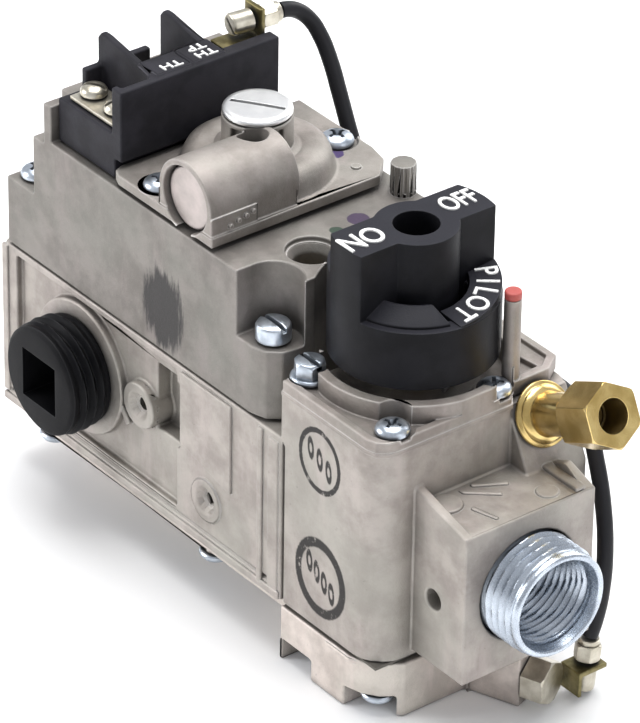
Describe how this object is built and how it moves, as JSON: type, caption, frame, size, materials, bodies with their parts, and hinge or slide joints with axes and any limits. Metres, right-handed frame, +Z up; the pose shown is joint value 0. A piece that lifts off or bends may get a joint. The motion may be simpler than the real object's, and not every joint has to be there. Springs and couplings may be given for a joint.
{
  "type": "gas valve",
  "caption": "Die-cast millivolt gas valve with push-and-turn knob, pressure regulator, terminal block, side plug, brass pilot fitting and outlet bushing.",
  "frame": {"origin": "bottom centre of the valve, on the surface it stands on", "axes": "+X from the inlet end towards the outlet bushing, +Y away from the face with the side plug, +Z up through the knob"},
  "size_m": [0.1377, 0.0609, 0.0994],
  "materials": {
    "die_cast_body": "raw die-cast, matt with a mottled skin",
    "die_cast_upper": "raw die-cast, matt with a mottled skin",
    "zinc_screws": "bright zinc plated",
    "zinc_bushing": "bright blue zinc plated, machined threads",
    "black_knob": "satin moulded, white raised dial words",
    "black_plug": "satin moulded",
    "grey_plastic": "matt moulded",
    "pilot_brass": "machined",
    "spring_steel": "drawn wire",
    "turned_steel": "turned",
    "gasket_fibre": "pressed fibre",
    "diaphragm_rubber": "smooth",
    "bright_aluminium": "turned bright",
    "nickel_plate": "nickel plated",
    "olive_plate": "dull passivated",
    "lead_jacket": "smooth jacket"
  },
  "bodies": {
    "valve_body": {"main_body": "die_cast_body", "control_bonnet": "die_cast_body", "bottom_cover": "die_cast_body", "upper_casting": "die_cast_upper", "regulator_cover": "die_cast_upper", "bonnet_screw_1": "zinc_screws", "bonnet_screw_2": "zinc_screws", "bonnet_screw_3": "zinc_screws", "bottom_screw_1": "zinc_screws", "bottom_screw_2": "zinc_screws", "bottom_screw_3": "zinc_screws", "bottom_screw_4": "zinc_screws", "rear_screw_1": "zinc_screws", "rear_screw_2": "zinc_screws", "rear_screw_3": "zinc_screws", "rear_screw_4": "zinc_screws", "body_screw_1": "zinc_screws", "body_screw_2": "zinc_screws", "body_screw_3": "zinc_screws", "cover_screw_1": "zinc_screws", "cover_screw_2": "zinc_screws", "upper_lead_screw": "zinc_screws", "lower_lead_screw": "zinc_screws", "outlet_bushing": "zinc_bushing", "inlet_plug": "black_plug", "terminal_block": "grey_plastic", "pilot_fitting": "pilot_brass", "pilot_tube_nut": "pilot_brass", "valve_seat": "pilot_brass", "bleed_screw": "pilot_brass", "knob_spring": "spring_steel", "safety_spring": "spring_steel", "main_valve_spring": "spring_steel", "regulator_spring": "spring_steel", "magnet_core": "turned_steel", "regulator_tap_screw": "turned_steel", "bottom_gasket": "gasket_fibre", "body_gasket": "gasket_fibre", "regulator_diaphragm": "diaphragm_rubber", "regulator_cap": "bright_aluminium", "side_bore_plug": "bright_aluminium", "terminal_plate_1": "nickel_plate", "terminal_plate_2": "nickel_plate", "terminal_plate_3": "nickel_plate", "terminal_screw_1": "nickel_plate", "terminal_screw_2": "nickel_plate", "terminal_screw_3": "nickel_plate", "terminal_screw_4": "nickel_plate", "upper_ferrule": "nickel_plate", "lower_ferrule": "nickel_plate", "magnet_nut": "nickel_plate", "upper_tab": "olive_plate", "lower_tab": "olive_plate", "lead": "lead_jacket"},
    "cock": {"cock_plug": "pilot_brass"},
    "knob": {"gas_knob": "black_knob"},
    "safety": {"safety_valve": "turned_steel"},
    "valve": {"main_valve": "turned_steel"},
    "adjuster": {"regulator_adjuster": "grey_plastic"}
  },
  "joints": [
    {"name": "knob_turn", "type": "hinge", "parent": "valve_body", "child": "cock", "pos_m": [0.0278, 0.00415, 0.06], "axis": [0, 0, 1], "range_deg": [-50, 130]},
    {"name": "knob_press", "type": "slide", "parent": "cock", "child": "knob", "axis": [0, 0, -1], "range_m": [0, 0.0025], "stiffness_N_per_m": 600, "springref_m": -0.003, "deforming": ["knob_spring"]},
    {"name": "safety_open", "type": "slide", "parent": "valve_body", "child": "safety", "axis": [0, 0, -1], "range_m": [0, 0.0025], "stiffness_N_per_m": 400, "springref_m": -0.003, "deforming": ["safety_spring"]},
    {"name": "main_valve_lift", "type": "slide", "parent": "valve_body", "child": "valve", "axis": [0, 0, 1], "range_m": [0, 0.003], "stiffness_N_per_m": 300, "springref_m": -0.003, "deforming": ["main_valve_spring"]},
    {"name": "pressure_adjust", "type": "hinge", "parent": "valve_body", "child": "adjuster", "pos_m": [-0.0194, 0.00505, 0.084], "axis": [0, 0, 1], "range_deg": [-360, 360]}
  ],
  "couplings": [
    {"joint": "safety_open", "follows": "knob_press", "ratio": 1}
  ]
}
